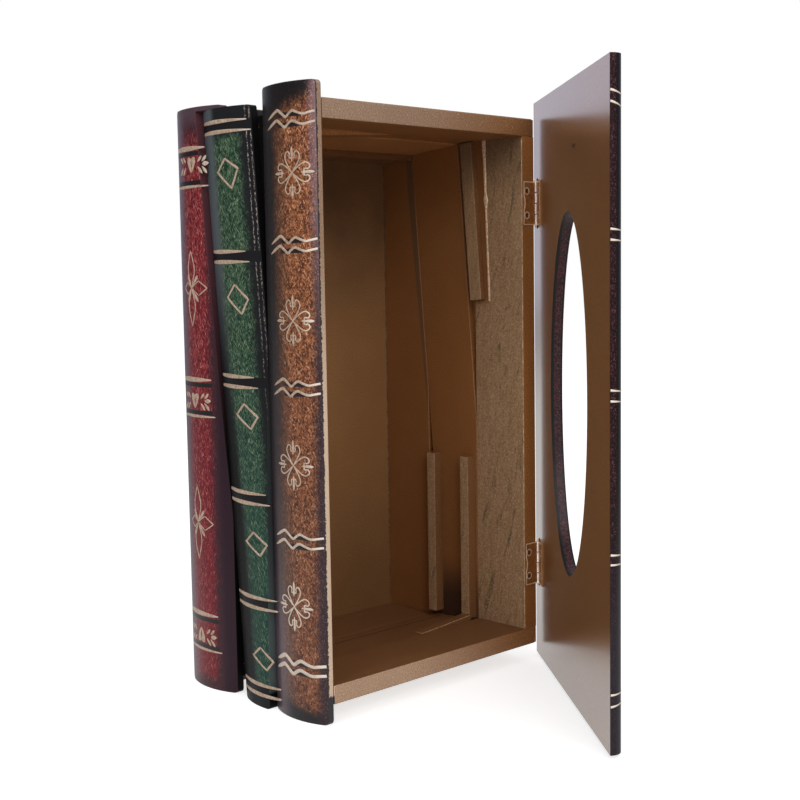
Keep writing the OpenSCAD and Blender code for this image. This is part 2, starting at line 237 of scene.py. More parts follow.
class Nodes:
    """Short calls that build a node tree. A Value, a socket or a number may be given for any input."""

    def __init__(self, tree):
        self.tree = tree

    def set(self, socket, value):
        value = getattr(value, "socket", value)
        if isinstance(value, bpy.types.NodeSocket):
            self.tree.links.new(value, socket)
        else:
            socket.default_value = value

    def node(self, kind, inputs=(), **settings):
        n = self.tree.nodes.new(kind)
        for k, v in settings.items():
            setattr(n, k, v)
        for k, v in dict(inputs).items():
            self.set(n.inputs[k], v)
        return n

    def math(self, op, a, b=0):
        return Value(self, self.node("ShaderNodeMath", {0: a, 1: b}, operation=op).outputs[0])

    def most(self, *values):
        out = values[0]
        for v in values[1:]:
            out = self.math("MAXIMUM", out, v)
        return out

    def step(self, value, low, high, end=1, start=0):
        """A smooth step from start at low to end at high."""
        inputs = {"Value": value, "From Min": low, "From Max": high, "To Min": start, "To Max": end}
        n = self.node("ShaderNodeMapRange", inputs, interpolation_type="SMOOTHSTEP")
        return Value(self, n.outputs["Result"])

    def fade(self, value, full, end, share=1):
        """A smooth step from share at full to nothing at end."""
        return self.step(value, full, end, 0, share)

    def within(self, value, start, full, fade, end):
        """One between full and fade, and nothing before start and after end."""
        return self.step(value, start, full) * self.fade(value, fade, end)

    def rows(self, value, places, half, soft):
        """One within half of any of the places, fading out over soft."""
        reach = half + soft
        return self.most(*[self.within(value, at - reach, at - half, at + half, at + reach) for at in places])

    def axes(self, v):
        parts = self.node("ShaderNodeSeparateXYZ", {"Vector": v}).outputs
        return [Value(self, parts[k]) for k in "XYZ"]

    def vector(self, op, a, b):
        n = self.node("ShaderNodeVectorMath", {0: a, 1: b}, operation=op)
        return Value(self, n.outputs["Value"])

    def mix(self, share, a, b):
        n = self.node("ShaderNodeMix", {0: share, 6: linear(a), 7: linear(b)}, data_type="RGBA")
        return n.outputs[2]

    def ramp(self, share, *stops):
        n = self.node("ShaderNodeValToRGB", {"Fac": share})
        marks = n.color_ramp.elements
        while len(marks) < len(stops):
            marks.new(0.5)
        for m, (at, colour) in zip(marks, stops):
            m.position, m.color = at, linear(colour)
        return n.outputs["Color"]


class Paint(Nodes):
    """A material, of which colour is what is painted so far.

    With a space, v is the point in that space's millimetres, and x, y, z are its parts."""

    def __init__(self, name, s=None):
        self.mat = bpy.data.materials.new(name)
        self.mat.use_nodes = True
        super().__init__(self.mat.node_tree)
        self.shader = self.tree.nodes["Principled BSDF"]
        self.colour = None
        if s:
            self.v = self.place(s)
            self.x, self.y, self.z = self.axes(self.v)

    def mapping(self, v, turn, size, place):
        inputs = {"Vector": v, "Rotation": turn, "Scale": size, "Location": place}
        return self.node("ShaderNodeMapping", inputs, vector_type="TEXTURE").outputs["Vector"]

    def place(self, s):
        """Millimetres in a book's own space, from the object's coordinates."""
        where = self.node("ShaderNodeTexCoord").outputs["Object"]
        return self.mapping(where, s["turn"], (MM,) * 3, s["place"])

    def stretched(self, size, turn=(0, 0, 0)):
        """Coordinates in which marks of the given size in mm, leaning by turn, are one unit each way."""
        return self.mapping(self.v, turn, size, (0, 0, 0))

    def near(self, point, full, end):
        """One within full of a point, nothing beyond end."""
        return self.fade(self.vector("DISTANCE", self.v, point), full, end)

    def noise(self, scale, detail=3, rough=0.55, warp=0, at=None):
        inputs = {"Vector": self.v if at is None else at, "Scale": scale, "Detail": detail, "Roughness": rough,
                  "Distortion": warp}
        return Value(self, self.node("ShaderNodeTexNoise", inputs).outputs["Fac"])

    def bump(self, height, depth, strength=0.8):
        inputs = {"Height": height, "Distance": depth * MM, "Strength": strength}
        return self.node("ShaderNodeBump", inputs).outputs["Normal"]

    def lay(self, share, colour):
        """Paints a colour over a share of what is there."""
        self.colour = self.mix(share, self.colour, colour)

    def keep(self, share, colour):
        """Keeps a share of what is there and paints a colour over the rest."""
        self.colour = self.mix(share, colour, self.colour)

    def finish(self, rough, normal=None, metal=0, coat=0.1, coat_rough=0.2, specular=0.4):
        for k, v in {"Base Color": self.colour, "Roughness": rough, "Metallic": metal, "Coat Weight": coat,
                     "Coat Roughness": coat_rough, "Specular IOR Level": specular}.items():
            self.set(self.shader.inputs[k], v)
        if normal is not None:
            self.set(self.shader.inputs["Normal"], normal)
        return self.mat


# ---- where the ornaments are
# Front spine: height of each pair of wavy lines, and how far it slides towards the middle book
WAVES = ((228.3, 0), (180.4, -0.3), (125, 0.2), (64.7, 1.6), (13.7, 3.4))
WAVE_GAP = 3.8
ROSETTES = ((10.4, 207.9), (11.7, 151.3), (13.3, 94.8), (14.7, 38.2))
# Middle spine: the pairs of lines, which slope a little, and the diamonds: their middles, half heights and
# how high their near corners are
PAIRS, PAIR_GAP, PAIR_SLOPE, PAIR_A = (231.4, 178.7, 127.7, 80.1, 36.9, 0.6), 4.2, 0.09, 16
DIAMONDS = ((13.5, 212, 6.2, 0.22), (13.2, 161.1, 6.1, -0.08), (12.9, 113.4, 5.2, -0.08),
            (13.1, 61.2, 4.8, -0.08), (14.2, 13.8, 4.6, -0.2))
# Rear spine: heart bands, and the stars between them
HEARTS = ((17.3, 215.5, 6.8, 9), (19.8, 116.6, 9, 6.6), (20.4, 14.7, 9.5, 6.1))
STARS = ((19.9, 164.2), (20.3, 64.1))

# ---- book paints
# Ground, dark, middle, light and fleck. All colours are sRGB, 0 to 255
BROWN = (30, 26, 28), (68, 35, 24), (130, 77, 48), (190, 123, 81), (212, 176, 152)
GREEN = (34, 35, 37), (24, 46, 37), (46, 74, 57), (104, 124, 96), (160, 168, 142)
RED = (46, 32, 40), (82, 18, 26), (124, 34, 42), (170, 78, 78), (206, 148, 140)
BLACK = (33, 32, 34)


def book_paint(name, s, tones, flake, tilt, share, stripes=None, shade=None, edge=None, lower=None,
               coat=0.16, specular=0.2, across="Y"):
    """Sponged paint with fine brush marks, over a dark ground.

    flake: width and length of the marks in mm, which lean by tilt to both sides. share(p, a, z) is the
    share of the colour over the ground, and stripes(p, a, z) the share of black over both. shade(p), a
    painted shade, and edge(p), which paints the edges and, on some of them, a painted sheen, add to the
    paint below and above the ground's rim, and lower is a tint for the lower half."""
    p = Paint(name, s)
    marks = []
    for side in (-1, 1):
        turn = (side * tilt, 0, 0) if across == "Y" else (0, side * tilt, 0)
        marks.append(p.noise(1, 3, 0.6, 0.5, p.stretched((flake[0], *flake), turn)))
    strokes = p.most(*marks)
    blot = p.noise(0.45, 4, 0.62, 0.8)
    speck = p.noise(2.4, 2, 0.6)
    ground, dark, middle, light, fleck = tones
    p.colour = p.ramp(blot, (0.34, dark), (0.5, middle), (0.76, light))
    if lower:
        p.lay(p.fade(p.z, 40, 200, 0.55), lower)
    p.lay(p.fade(marks[0], 0.4, 0.46, 0.9), dark)
    p.lay(p.fade(marks[1], 0.36, 0.42, 0.9), dark)
    p.lay(p.step(strokes, 0.57, 0.62, 0.85), light)
    p.lay(p.step(strokes, 0.64, 0.69, 0.85), fleck)
    if lower:
        p.lay(p.fade(p.z, 30, 150, 0.4), lower)
    if shade:
        shade(p)
    a = p.y if across == "Y" else p.x
    wander = (p.noise(0.25, 5, 0.7, 0.6) - 0.5) * 7
    under = p.mix(p.step(speck, 0.6, 0.78, 0.35), ground, middle)
    p.keep(share(p, a + wander, p.z + wander), under)
    if edge:
        edge(p)
    if stripes:
        p.lay(stripes(p, a, p.z), BLACK)
    rough = p.step(speck, 0.35, 0.7, 0.5, 0.34)
    return p.finish(rough, p.bump(strokes + speck * 0.5, 0.12), coat=coat, specular=specular)


def brown_share(p, a, z):
    head = p.fade(z + a * 0.45, 233, 243)
    foot = p.step(z - a * 0.15, -6.5, -0.5)
    far = p.fade(a - p.fade(z, 20, 130, 5), 15, 25)
    return p.step(a, -1, 1.4) * far * head * foot


def brown_stripes(p, a, z):
    heights = [mid + side * WAVE_GAP / 2 - 0.25 for mid, _ in WAVES for side in (-1, 1)]
    return p.rows(z, heights, 0.75, 0.35) * p.within(a, 5, 7.5, 16, 20)


def brown_painted_shade(p):
    """Painted shade: the duller, darker side of the front spine's brown, away from its near edge, and darker
    towards the foot.
    """
    a = p.y + p.noise(0.2, 4, 0.6) * 6
    p.lay(p.step(a, 14, 22, 0.55), (84, 60, 46))
    # Painted shade: darker towards the foot
    p.lay(p.fade(p.z, 30, 190, 0.3), (60, 40, 40))


def brown_edge_sheen(p):
    """Painted sheen on the front spine: a band along its near edge, dark low down and a pale painted highlight
    at the head, pale dots there that are partly painted glints, and a purple grey painted reflection on
    its lower far side.
    """
    # Painted highlight: the near-edge band turns pale towards the head
    inward = p.y - p.fade(p.z, 20, 150, 1.4)
    band = p.fade(inward + p.noise(0.3, 4) * 3.4, 1.8, 5.6, 0.9)
    upper = p.step(p.z, 120, 235)
    p.lay(band, p.mix(upper, (46, 31, 38), (132, 100, 102)))
    # Painted reflection: purple grey on the lower far side, paler near the foot
    purple = p.step(p.y, 16, 25) * p.fade(p.z, 60, 150, 0.55)
    p.lay(purple, p.mix(p.step(p.z, 10, 60), (104, 86, 98), (54, 36, 46)))
    # Pale dots near the edge, strongest in the painted highlight at the head: partly painted glints
    dots = p.step(p.noise(1.7, 1, 0.5), 0.6, 0.68)
    dots = dots * p.fade(p.y, 1.2, 4.6, 0.8) * p.step(upper, 0, 1, 1, 0.25)
    p.lay(dots, (180, 154, 158))


def green_share(p, a, z):
    far = p.fade(a + p.fade(z, 60, 160, 4), 20.5, 26.5)
    return p.step(a, 3.5, 8.5) * far * p.within(z, 0, 3.5, 225, 229)


def green_stripes(p, a, z):
    return p.rows(z - (a - PAIR_A) * PAIR_SLOPE, PAIRS, PAIR_GAP / 2, 0.2)


def green_edge(p):
    """Worn gold along the middle spine's near edge, brighter towards the head as a painted highlight, and a
    far edge that is black below, with a bluish grey painted reflection above.
    """
    far = p.step(p.y, 19, 24)
    p.lay(far * p.fade(p.z, 70, 150), (3, 3, 3))
    # Painted reflection: bluish grey on the far edge's upper part
    p.lay(far * p.step(p.z, 130, 190, 0.8), (92, 99, 103))
    p.lay(p.fade(p.y, 1, 4, 0.9), BLACK)
    worn = p.step(p.noise(1, 3, 0.7, at=p.stretched((0.4, 0.4, 1.2))), 0.5, 0.6)
    rows = p.rows(p.y, (0.7, 2.4), 0.15, 0.2)
    # The worn gold dots grow brighter towards the head: a painted highlight
    p.lay(worn * rows * p.step(p.z, 80, 235, 1, 0.2), (194, 180, 172))


def red_share(p, a, z):
    share = p.within(a, 6, 12.5, 24, 30) * p.within(z, -7, 0, 218, 236)
    return p.most(share, p.within(a, 4, 8, 26, 31) * 0.16)


def red_stripes(p, a, z):
    heights = [h for _, mid, above, below in HEARTS for h in (mid + above - 2.2, mid - below + 1.6)]
    return p.rows(z, heights, 0.8, 0.2) * p.step(a, 7, 9)


def red_edge(p):
    """The rear spine: black or dark purple beside the middle one, greyish at the head, and a lilac grey
    painted reflection along the far edge.
    """
    dark = p.mix(p.step(p.z, 90, 170), (42, 18, 31), BLACK)
    p.lay(p.fade(p.y, 3, 8, 0.85), dark)
    # Painted reflection: lilac grey along the far edge, stronger towards the head
    far = p.step(p.y, 20.5, 28.5) * p.step(p.z, 20, 120, 0.9, 0.5)
    p.lay(far, (98, 76, 90))
    p.lay(p.step(p.z, 228, 237, 0.75), (90, 70, 80))


def cover_share(p, a, z):
    return p.within(a, 3, 20, 108, 126) * p.within(z, 2, 20, 218, 236)


def door_edge(p):
    """Dark round the slot, and a near-black free edge with worn red specks towards the inside."""
    across, along = (p.x - SLOT_X) / (SLOT_W / 2), (p.z - SLOT_Z) / (SLOT_H / 2)
    from_slot = p.math("SQRT", across * across + along * along)
    p.keep(p.step(from_slot, 1.02, 1.28), BROWN[0])
    worn = p.ramp(p.noise(1.6, 3, 0.65), (0.4, (22, 10, 12)), (0.54, (44, 20, 22)), (0.66, (104, 66, 70)))
    outer = p.mix(p.step(p.z, 30, 110), (48, 46, 51), (5, 5, 7))
    inner = p.step(p.y, -4.4, -3.4) * p.step(p.z, 20, 100, 0.9, 0.3)
    p.lay(p.fade(p.x, DOOR_LEFT + 3, DOOR_LEFT + 5), p.mix(inner, outer, worn))


brown_book = book_paint("brown_book_paint", STRAIGHT, BROWN, (0.62, 1.5), 0.5, brown_share, brown_stripes,
    brown_painted_shade, brown_edge_sheen)
green_book = book_paint("green_book_paint", LEANING, GREEN, (0.42, 2.4), 0.5, green_share, green_stripes,
    edge=green_edge, lower=(42, 72, 66), coat=0.03, specular=0.05)
red_book = book_paint("red_book_paint", REAR, RED, (0.5, 2.4), 0.35, red_share, red_stripes,
    edge=red_edge, lower=(112, 16, 30), coat=0.1, specular=0.15)
brown_cover = book_paint("brown_cover_paint", DOOR, BROWN, (0.8, 1.5), 0.5, cover_share, edge=door_edge,
    coat=0.03, specular=0.08, across="X")
red_cover = book_paint("red_cover_paint", STRAIGHT, RED, (0.5, 2.4), 0.35, cover_share, across="X")


# ---- plain and gold paints
def plain(name, tones, grain=1.5, rough=0.5, s=STRAIGHT, metal=0, coat=0.1, depth=0.05, coat_rough=0.2,
          specular=0.4, change=None):
    """A sprayed paint of a dark, a middle and a light tone, with fine specks. change(p) adds to it."""
    p = Paint(name, s)
    fine = p.noise(grain, 4, 0.65)
    dark, middle, light = tones
    p.colour = p.ramp(fine, (0.34, dark), (0.5, middle), (0.66, light))
    p.lay(p.fade(p.noise(0.04, 3, 0.6), 0.3, 0.7, 0.25), dark)
    if change:
        change(p)
    return p.finish(rough, p.bump(fine, depth), metal, coat, coat_rough, specular)


def gold(where, tones, change=None, grain=2, depth=0.02):
    """The gold-brown paint inside the case."""
    return plain(f"gold_{where}_paint", tones, grain, metal=0.05, depth=depth, change=change)


def tan_rim_painted_light(p):
    """The front rim of the case: tan at the spine, with painted reflection turning it orange brown at the
    hinges, painted shade darkening it towards the head and painted light brightening the spine's edge low
    down, its foot black.
    """
    # Painted reflection: orange brown towards the hinges
    hinge_side_reflection = p.ramp(p.noise(1.7, 4, 0.65), (0.34, (142, 92, 52)), (0.5, (168, 114, 68)), (0.66, (196, 144, 98)))
    p.lay(p.step(p.x + p.noise(0.06, 3) * 14, 40, 128), hinge_side_reflection)
    # Painted shade: darker towards the head
    p.lay(p.step(p.z, 40, 225, 0.34), (0, 0, 0))
    spine_only = p.fade(p.x, 0.2, 0.6)
    # Painted light: the spine's edge lighter low down
    p.lay(spine_only * p.fade(p.z, 110, 185, 0.5), (255, 228, 200))
    ragged = (p.noise(0.7, 5, 0.75) - 0.5) * 3.2
    chips = p.most(p.fade(p.x + ragged, -2.5, -2.2), p.fade(p.z + ragged, 3.2, 3.8))
    p.lay(p.step(p.noise(1.2, 1, 0.5), 0.68, 0.73, 0.5), (240, 220, 196))
    p.lay(chips * spine_only, BLACK)


def lining_painted_shade(p):
    """Gold brown where it lines the case, with painted shade low down and high up by the fore wall, and dark
    where it stands proud of it.
    """
    lined = p.within(p.x, -0.6, -0.3, CASE_W - 0.2, CASE_W) * p.within(p.z, 0, 0.3, REAR_HEAD - 1, REAR_HEAD)
    # Painted shade: darker towards the floor
    p.lay(p.fade(p.z, 15, 90, 0.3), (0, 0, 0))
    # Painted shade: a soft dark cloud high on the back wall, near the fore wall
    shade_cloud = p.near((98, DEPTH, 205), 10, 80) * p.noise(0.03, 4, 0.6) * 0.9
    p.lay(shade_cloud, (60, 46, 34))
    p.keep(lined, (38, 30, 33))


def shaded_joint(p):
    """The darker strip behind the joint of the middle and rear blocks."""
    _, y, z = p.axes(p.place(LEANING))
    gap = p.step(z, 90, 225, MIDDLE_T + 4.6, MIDDLE_T + 1.5) - y
    p.lay(p.step(gap, -0.3, 0.3) * p.step(z, 80, 130, 0.75), (104, 82, 58))


def notch_red(p):
    """The rear spine's cut face: dark red at the head, black at the foot."""
    p.lay(p.step(p.z, 80, 200), (84, 50, 56))


def fading_glue(p):
    """The bead in the corner shows in spots, and not at all near the head."""
    shown = p.step(p.noise(0.5, 4, 0.7), 0.46, 0.56) * p.step(p.z, 130, 180, 0.1, 0.9)
    p.keep(shown, (84, 57, 34))


def dark_above(p):
    """Gold where it shows inside, black in the notch between the front and middle heads."""
    p.lay(p.step(p.z, CASE_H - WALL + 1.2, CASE_H - WALL + 1.8), (9, 8, 9))


def slate_below(p):
    """Black beside the front spine's upper half, dark slate beside its lower one."""
    slate = p.mix(p.step(p.z, 15, 75), (84, 94, 92), (58, 62, 62))
    p.lay(p.within(p.z, -2, 0, 112, 150), slate)


def foot_dark_patch(p):
    """A darker patch low down between the two short strips."""
    p.lay(p.near((FORE_X, 44.5, 8), 7, 30) * 0.85, (38, 26, 26))


def spot_and_scratches(p):
    """A dark dot and two fine scratches on the door's gloss, and its chipped free edge."""
    dot = p.most(*[p.near((51.8 + x, DOOR_IN, 217.3), 0.5, 1.1) for x in (-1.6, -0.8, 0, 0.8, 1.6)])
    p.lay(dot, (50, 22, 10))
    dashes = p.step(p.noise(1.6, 2, 0.6), 0.46, 0.5)
    rub = dashes * p.within(p.x, 125.4, 125.7, 126.2, 126.5) * p.within(p.z, 8, 10, 21, 24)
    p.lay(rub, (40, 24, 18))
    chipped = p.x + p.noise(0.9, 4, 0.7) * 1.4
    p.lay(p.fade(chipped, DOOR_LEFT + 1, DOOR_LEFT + 1.3, 0.9), (60, 34, 26))


def bright_specks(p):
    """Red and lilac specks on the slot's dark wall, which has black borders."""
    p.lay(p.step(p.noise(1.1, 4, 0.65), 0.46, 0.62), (82, 32, 30))
    p.lay(p.step(p.noise(3, 2, 0.6), 0.6, 0.68), (120, 84, 88))
    clear = p.within(p.y, DOOR_OUT + 0.4, DOOR_OUT + 1.2, DOOR_IN - 1.6, DOOR_IN - 0.9)
    p.keep(clear, (8, 7, 9))


# On the fore side
INSIDE = (128, 80, 40), (149, 97, 52), (168, 116, 68)
gold_inside = gold("inside", INSIDE)
gold_lining = gold("lining", ((126, 87, 50), (149, 106, 64), (168, 125, 82)), lining_painted_shade)
gold_joint = gold("joint", INSIDE, shaded_joint)
gold_foot = gold("foot", INSIDE, foot_dark_patch)
gold_floor = gold("floor", ((106, 68, 38), (127, 85, 50), (146, 103, 66)))
# A lighter copy of the inside gold: painted light on the lit faces of the boards under the head
gold_lit_beam = gold("lit_beam", ((160, 106, 58), (182, 124, 72), (206, 150, 98)), dark_above, grain=1.4, depth=0.04)

tan_edge = plain("tan_edge_paint", ((156, 122, 96), (188, 152, 122), (216, 184, 158)), 1.7, 0.55,
                 change=tan_rim_painted_light)
# The stile's orange brown is the rim's tan with painted reflection, as at the rim's end by the hinges
stile_reflection_edge = plain("stile_reflection_edge_paint", ((150, 97, 49), (172, 112, 58), (190, 130, 74)), 1.2)
worn_edge = plain("worn_edge_paint", ((120, 82, 48), (170, 130, 92), (214, 182, 148)), 0.9, 0.45)
door_inside = plain("door_inside_paint", ((118, 78, 46), (130, 88, 52), (140, 98, 62)), 0.8, 0.32, DOOR,
                    metal=0.1, coat=0.75, depth=0.01, coat_rough=0.22, change=spot_and_scratches)
slot_paint = plain("slot_wall_paint", ((14, 12, 16), (24, 18, 22), (46, 34, 36)), 0.9, 0.35, DOOR,
                   coat=0.05, depth=0.2, coat_rough=0.15, specular=0.15, change=bright_specks)
BLACKS = (10, 10, 11), (14, 14, 15), (28, 26, 25)
black_paint = plain("black_paint", BLACKS, 1.6, coat=0, specular=0.08)
cut_paint = plain("cut_side_paint", BLACKS, 1.6, coat=0, specular=0.08, change=slate_below)
notch_paint = plain("notch_paint", ((8, 7, 8), (10, 9, 10), (14, 12, 14)), 1.5, 0.6, REAR, coat=0.02,
                    specular=0.08, change=notch_red)
glue_paint = plain("glue_paint", ((186, 144, 106), (228, 192, 156), (250, 228, 200)), 0.9, 0.35)
corner_paint = plain("corner_glue_paint", ((110, 82, 56), (130, 100, 72), (168, 134, 104)), 0.9,
                     change=fading_glue)


def painted_grain(name, wedge):
    """Gold-brown paint over open wood grain, with greenish grey streaks along the board."""
    p = Paint(name, STRAIGHT)
    rings = p.noise(0.34, 5, 0.6, 1.8, p.stretched((1, 1, 7), (0.12, 0, 0)))
    pores = p.noise(1, 3, 0.6, 0, p.stretched((0.5, 0.5, 5), (0.08, 0, 0)))
    streaks = p.noise(1, 4, 0.65, 1.2, p.stretched((5.5, 5.5, 26), (0.3, 0, 0)))
    glitter = p.noise(1.5, 3, 0.65)
    p.colour = p.ramp(rings, (0.3, (154, 119, 84)), (0.5, (166, 131, 96)), (0.7, (176, 140, 106)))
    p.lay(p.step(streaks, 0.55, 0.7, 0.85), (96, 84, 62))
    p.lay(p.step(pores, 0.64, 0.74, 0.3), (96, 68, 42))
    p.lay(p.fade(glitter, 0.34, 0.46, 0.55), (104, 74, 46))
    p.lay(p.step(glitter, 0.54, 0.66, 0.5), (222, 192, 158))
    # Painted shade: darker towards the head, under the top board
    p.lay(p.step(p.z, 196, 226, 0.5), (70, 52, 38))
    if wedge:
        # Smooth brown between the glue bead and the leaning strip
        smear = p.step(p.y - (p.z * 0.04 + 13.8), -0.2, 0.2) * p.step(p.z, 153, 158)
        p.lay(smear, (132, 86, 46))
    return p.finish(0.5, p.bump(rings + pores * 0.5, 0.1), metal=0.05)


grain_inside = painted_grain("painted_grain", True)
grain_strip = painted_grain("painted_grain_strip", False)


def page_paint(name, s):
    """Worn gold on the pages' edges."""
    p = Paint(name, s)
    fine = p.noise(1.4, 4, 0.6)
    p.colour = p.ramp(fine, (0.3, (134, 98, 56)), (0.5, (168, 130, 82)), (0.7, (196, 162, 116)))
    p.lay(p.step(p.noise(0.12, 4, 0.65, 0.5), 0.5, 0.72, 0.5), (112, 74, 42))
    return p.finish(p.step(fine, 0.3, 0.7, 0.52, 0.36), p.bump(fine, 0.06), metal=0.35)


page_gold = page_paint("page_gold", STRAIGHT)
page_gold_leaning = page_paint("page_gold_leaning", LEANING)


def gilding(name, s, bright):
    """Hand-laid gold paint, matt and a little uneven. bright(p) is where a painted highlight makes it lighter.
    """
    p = Paint(name, s)
    thin = p.noise(0.9, 4, 0.6)
    p.colour = p.ramp(thin, (0.3, (150, 124, 102)), (0.5, (184, 158, 136)), (0.7, (208, 186, 166)))
    p.lay(bright(p), (248, 236, 220))
    return p.finish(0.5, p.bump(thin, 0.04), metal=0.05)


# Painted highlights: the gold is lighter towards each spine's near edge, the front spine's also towards its
# foot, and the door's towards its inner face
gold_line = gilding("gilding", STRAIGHT, lambda p: p.most(
    p.fade(p.z, 20, 130, 0.45), p.fade(p.y, 1, 9, 0.85) * p.step(p.z, 190, 200, 0.45, 1)))
gold_line_leaning = gilding("gilding_leaning", LEANING, lambda p: p.fade(p.y, 2, 8, 0.5))
gold_line_rear = gilding("gilding_rear", REAR, lambda p: p.fade(p.y, 8, 12, 0.3))
gold_line_door = gilding("gilding_door", DOOR, lambda p: p.step(p.y, -5.5, -2.5, 0.85, 0.2))


def brass(name, s):
    """Bright brass, spotted, with fine upright scratches."""
    p = Paint(name, s)
    spots = p.noise(0.9, 4, 0.6)
    scratch = p.noise(1, 2, 0.6, at=p.stretched((0.3, 0.3, 2.4)))
    p.colour = p.ramp(spots, (0.35, (214, 184, 156)), (0.5, (242, 216, 192)), (0.65, (252, 238, 222)))
    return p.finish(p.step(spots, 0.35, 0.65, 0.24, 0.36), p.bump(scratch, 0.02, 0.5), metal=1,
                    coat=0, specular=0.5)


# ---- the solids, dressed
SIDES = {"front": (0, -1, 0), "left": (-1, 0, 0), "right": (1, 0, 0), "over": (0, 0, 1), "under": (0, 0, -1)}
SAME_POINT, SAME_FACE, SHARP = 2e-6, radians(0.4), radians(24)


def middle_of(face):
    return (face.calc_center_median() - ORIGIN) / MM


def dress(node, paints, choose=None, bevel=0.2, segments=1, round_ends=0, rim=None, body="case"):
    """A CAD solid with its edges eased, which stands for the node. choose(normal, middle) picks a paint.

    round_ends is a larger radius for the edges along X at its head and foot. rim(middle) picks the paint
    of an eased edge, which is otherwise that of the face beside it."""
    fresh = len(paints)
    bm = bmesh.new()
    bm.from_mesh(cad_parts[node].data)
    bmesh.ops.remove_doubles(bm, verts=bm.verts, dist=SAME_POINT)
    bmesh.ops.dissolve_limit(bm, angle_limit=SAME_FACE, verts=bm.verts, edges=bm.edges)
    for f in bm.faces:
        f.material_index = choose(f.normal, middle_of(f)) if choose else 0

    def ease(edges, width, count):
        bmesh.ops.bevel(bm, geom=edges, offset=width * MM, offset_type="OFFSET", segments=count,
                        profile=0.5, affect="EDGES", clamp_overlap=True, material=fresh if rim else -1,
                        loop_slide=True)

    if round_ends:
        heights = [v.co.z for v in bm.verts]
        ends = (min(heights), max(heights))
        ease([e for e in bm.edges if abs((e.verts[0].co - e.verts[1].co).normalized().x) > 0.99
              and any(all(abs(v.co.z - h) < 0.1 * MM for v in e.verts) for h in ends)], round_ends, 5)
    if bevel:
        ease([e for e in bm.edges if len(e.link_faces) == 2 and e.calc_face_angle() > SHARP], bevel, segments)
    for f in bm.faces:
        if f.material_index == fresh:
            f.material_index = rim(middle_of(f))
    obj = piece(node + "_dressed", bm, body, paints)
    # Large faces keep their own direction, so that only the eased edges turn
    obj.modifiers.new("even_normals", "WEIGHTED_NORMAL").keep_sharp = True
    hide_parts(node)


def by_side(**numbers):
    """A choose function: the paint's number for each side, such as front=1, and 0 for the rest."""
    def choose(normal, middle):
        for side, number in numbers.items():
            if normal.dot(Vector(SIDES[side])) > 0.9:
                return number
        return 0
    return choose


def left_rim(at_left, elsewhere):
    """A rim function: one paint's number for the edges at the spines, another for the rest."""
    return lambda middle: at_left if middle.x < 1 else elsewhere


dress("front_spine", [brown_book, tan_edge, gold_lining], by_side(front=1, right=2),
      0.5, 3, round_ends=1.8)
dress("middle_spine", [green_book, gold_lining, cut_paint], by_side(right=1, front=2),
      0.7, 3, round_ends=1.2)
dress("rear_spine", [red_book, gold_lining, notch_paint], by_side(right=1, front=2),
      0.8, 3, round_ends=2.6)
dress("side_panel", [black_paint, gold_inside], by_side(right=1, front=1))
dress("rear_cover", [red_cover, gold_lining], by_side(front=1), 0.8, 3)
for node, inner in (("front_top_board", gold_inside), ("front_bottom_board", gold_floor)):
    dress(node, [inner, tan_edge, black_paint], by_side(front=1, left=2), 0.35, 2)
for node, inner in (("middle_bottom_board", gold_floor), ("rear_bottom_board", gold_floor),
                    ("middle_top_board", gold_lit_beam)):
    dress(node, [inner, black_paint], by_side(left=1), rim=left_rim(1, 0))
dress("rear_top_board", [gold_floor, black_paint], by_side(left=1))
dress("front_fore_board", [gold_inside, stile_reflection_edge, grain_inside, worn_edge],
      by_side(front=1, left=2), 0.3, 2, rim=lambda middle: 3 if middle.x < FORE_X + 1 else 1)
dress("middle_fore_board", [gold_foot])
dress("rear_fore_board", [gold_inside, gold_joint], by_side(left=1))
dress("top_filler", [black_paint, gold_inside, gold_lit_beam], by_side(under=1, front=2),
      rim=left_rim(0, 1))
dress("bottom_filler", [black_paint, gold_floor], by_side(over=1))
for node in ("upper_fore_filler", "lower_fore_filler"):
    dress(node, [black_paint, gold_inside], by_side(left=1), bevel=0.1)
dress("floor_wedge", [gold_floor, worn_edge], bevel=0.3, segments=2, rim=lambda middle: 1)
for node in ("leaning_joint_strip", "front_joint_strip", "rear_joint_strip"):
    dress(node, [gold_floor, grain_strip], by_side(left=1), 0.35, 2)

OUTWARD = Matrix.Rotation(DOOR_OPEN, 3, "Z") @ Vector((0, -1, 0))


def on_shut_door(point):
    """Where a point of the open door is once the door is shut."""
    return Matrix.Rotation(-DOOR_OPEN, 3, "Z") @ (point - PIN) + PIN


def door_faces(normal, middle):
    """The inner face, the wall of the slot, and the rest."""
    at = on_shut_door(middle)
    if normal.dot(OUTWARD) < -0.9:
        return 1
    away_from_rim = DOOR_LEFT + 8 < at.x < DOOR_RIGHT - 8 and DOOR_FOOT + 5 < at.z < DOOR_TOP - 5
    return 2 if abs(normal.dot(OUTWARD)) < 0.5 and away_from_rim else 0


dress("door_panel", [brown_cover, door_inside, slot_paint], door_faces, 0.45, 2, body="door")

